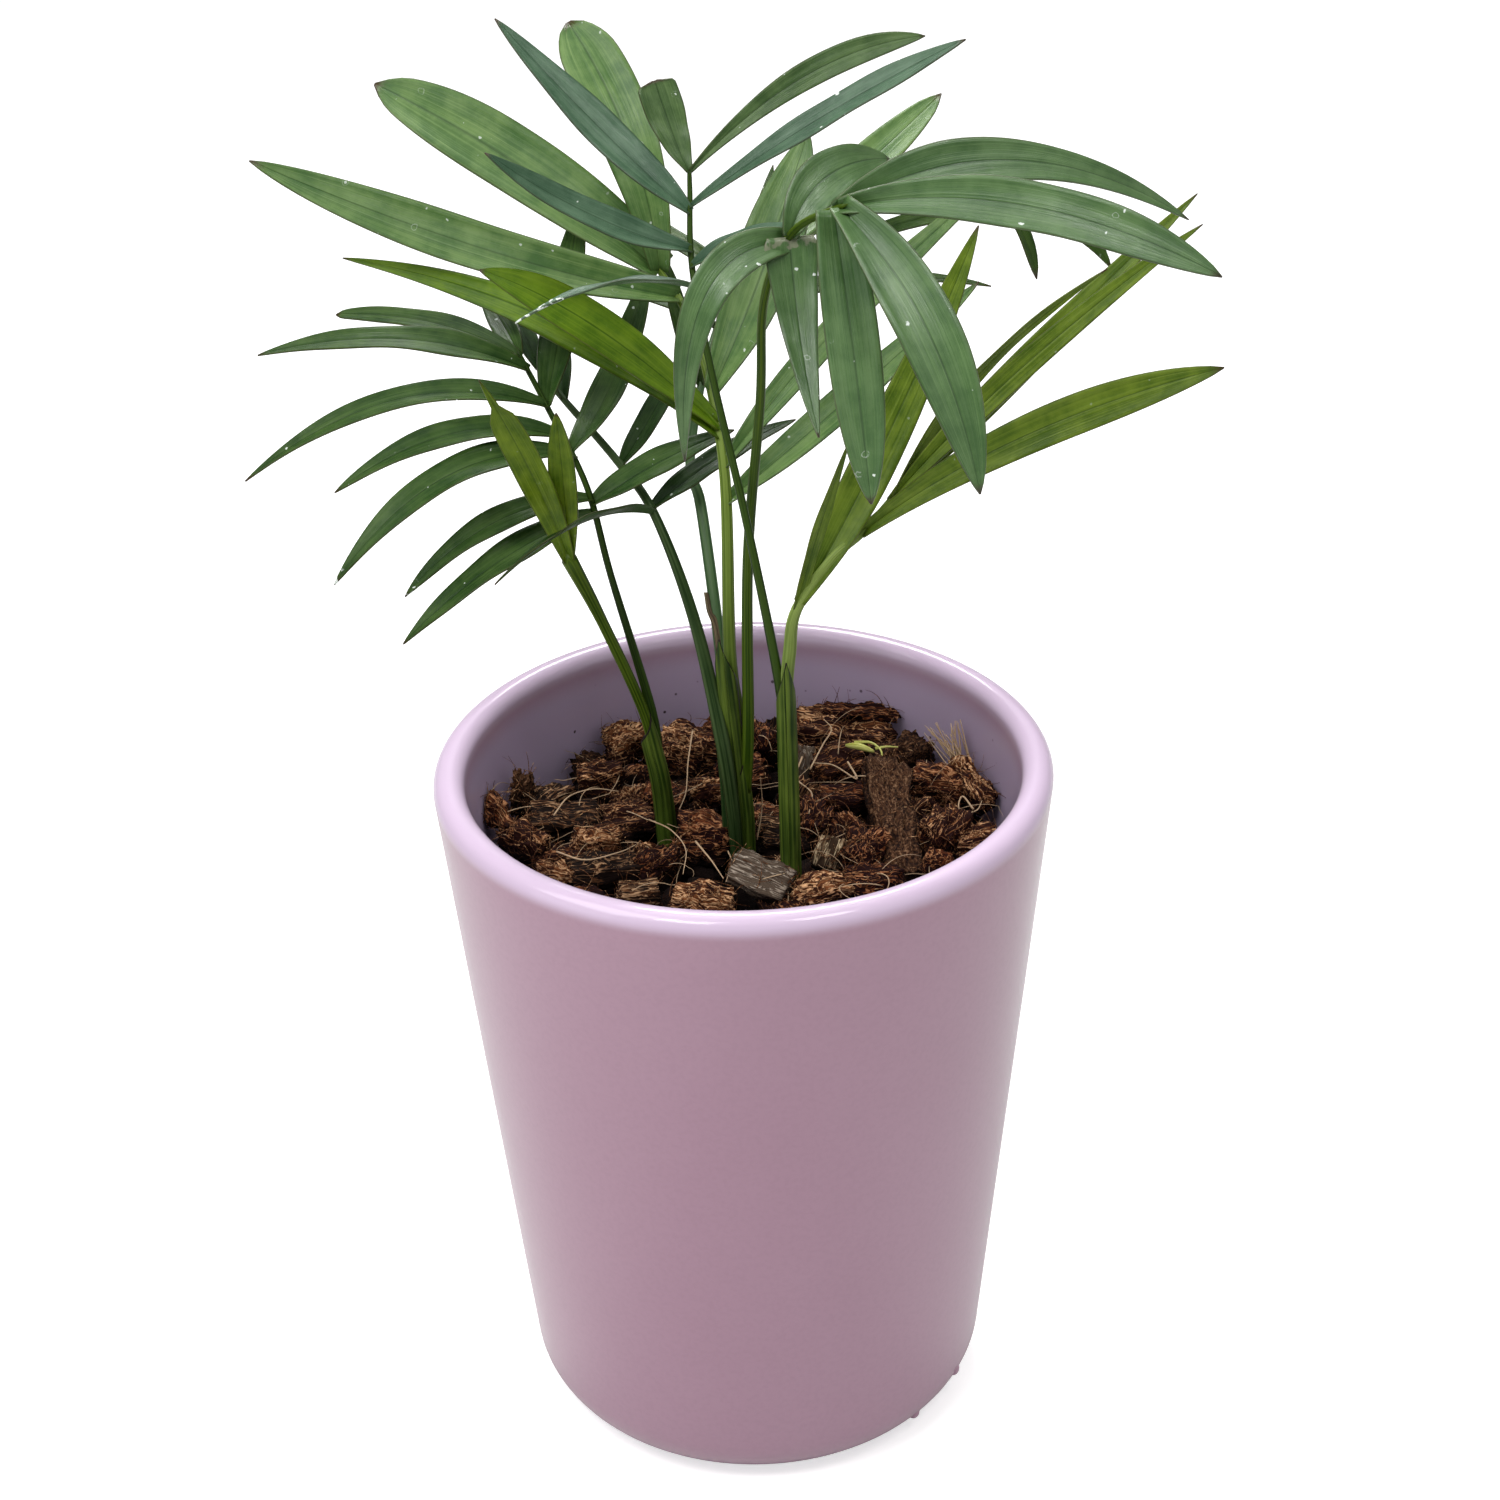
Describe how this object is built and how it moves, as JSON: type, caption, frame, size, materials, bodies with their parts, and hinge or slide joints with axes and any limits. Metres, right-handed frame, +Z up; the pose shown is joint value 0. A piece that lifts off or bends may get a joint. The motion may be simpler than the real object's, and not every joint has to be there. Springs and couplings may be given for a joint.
{
  "type": "potted parlour palm",
  "caption": "Young potted parlour palm: arching feather fronds on slender sheathed stems, rising from husk chips in a tall tapered mauve glazed pot with a rounded lip and foot.",
  "frame": {"origin": "middle of the pot's flat underside, at the centre of its round plan", "axes": "+Z up along the pot's axis; -Y towards the viewer, with the front frond leaning that way; +X to the viewer's right"},
  "size_m": [0.1823, 0.1953, 0.2935],
  "materials": {
    "pot_glaze": "satin glaze, pale mauve pink",
    "husk": "rough rusty brown coconut husk chips",
    "sheath": "ribbed green leaf sheath",
    "dark_green": "satin leaf",
    "mid_green": "satin leaf",
    "light_green": "satin leaf",
    "blue_green": "satin leaf",
    "young_green": "satin leaf"
  },
  "bodies": {
    "root": {"pot": "pot_glaze", "husk_fill": "husk", "stem_left": "sheath", "stem_middle": "sheath", "stem_right": "sheath", "frond_low_left": "dark_green", "frond_low_middle": "dark_green", "frond_back": "mid_green", "frond_light": "light_green", "frond_front": "blue_green", "frond_top": "blue_green", "frond_right": "light_green", "spear_left": "young_green"}
  },
  "joints": []
}
